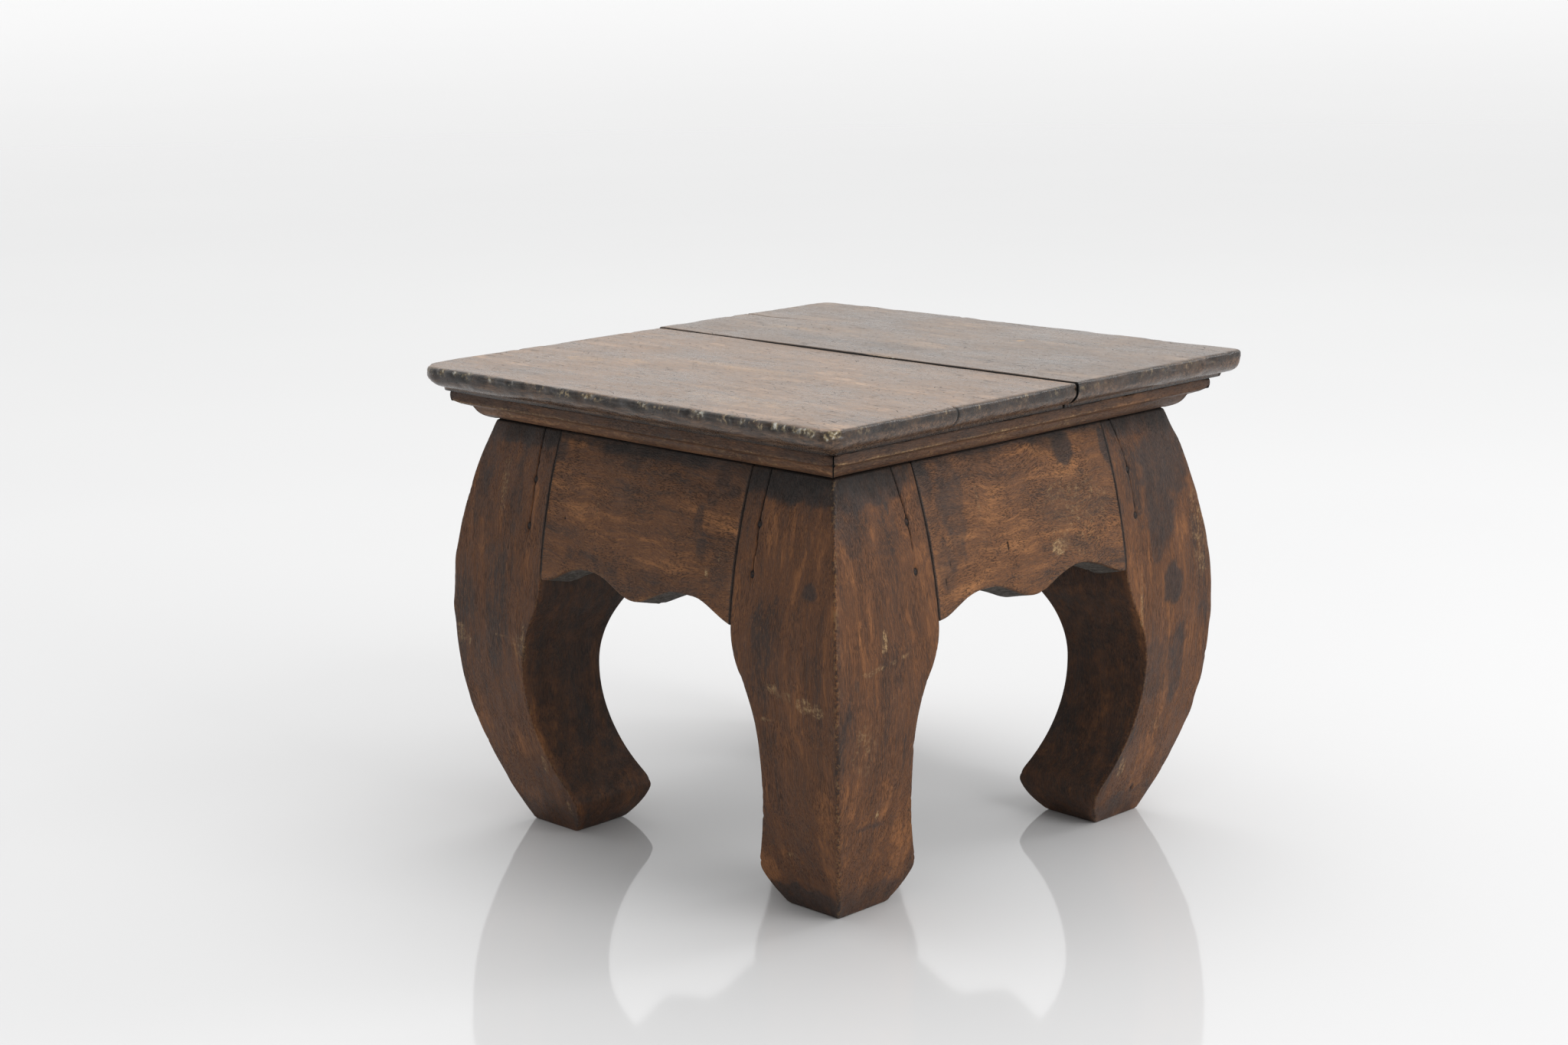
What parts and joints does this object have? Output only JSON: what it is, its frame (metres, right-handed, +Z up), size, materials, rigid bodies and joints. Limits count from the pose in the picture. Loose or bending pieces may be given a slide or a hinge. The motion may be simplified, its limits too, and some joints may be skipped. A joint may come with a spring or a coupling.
{
  "type": "low square wooden stool",
  "caption": "Low square wooden stool with a moulded board seat, mitred moulding, waved aprons and thick inward-curving legs.",
  "frame": {"origin": "middle of the footprint, on the floor", "axes": "+Z up to the seat, X along the grain of the seat boards, -Y the front, with the wide seat board towards -Y"},
  "size_m": [0.3, 0.304, 0.2455],
  "materials": {
    "seat_board_wide": "worn satin hardwood",
    "seat_board_narrow": "worn satin hardwood, greyed",
    "moulding": "dark stained hardwood",
    "leg": "dark stained hardwood, rubbed",
    "apron": "dark stained hardwood",
    "nail_iron": "black forged iron",
    "peg_wood": "bare wood"
  },
  "bodies": {
    "root": {"seat_board_wide": "seat_board_wide", "seat_board_narrow": "seat_board_narrow", "moulding_front": "moulding", "moulding_back": "moulding", "moulding_left": "moulding", "moulding_right": "moulding", "leg_front_left": "leg", "leg_front_right": "leg", "leg_back_left": "leg", "leg_back_right": "leg", "apron_front": "apron", "apron_back": "apron", "apron_left": "apron", "apron_right": "apron", "nails_front_left": "nail_iron", "nails_front_right": "nail_iron", "nails_back_left": "nail_iron", "nails_back_right": "nail_iron", "moulding_nails": "nail_iron", "seat_pegs": "peg_wood", "seam_dowels": "peg_wood"}
  },
  "joints": []
}
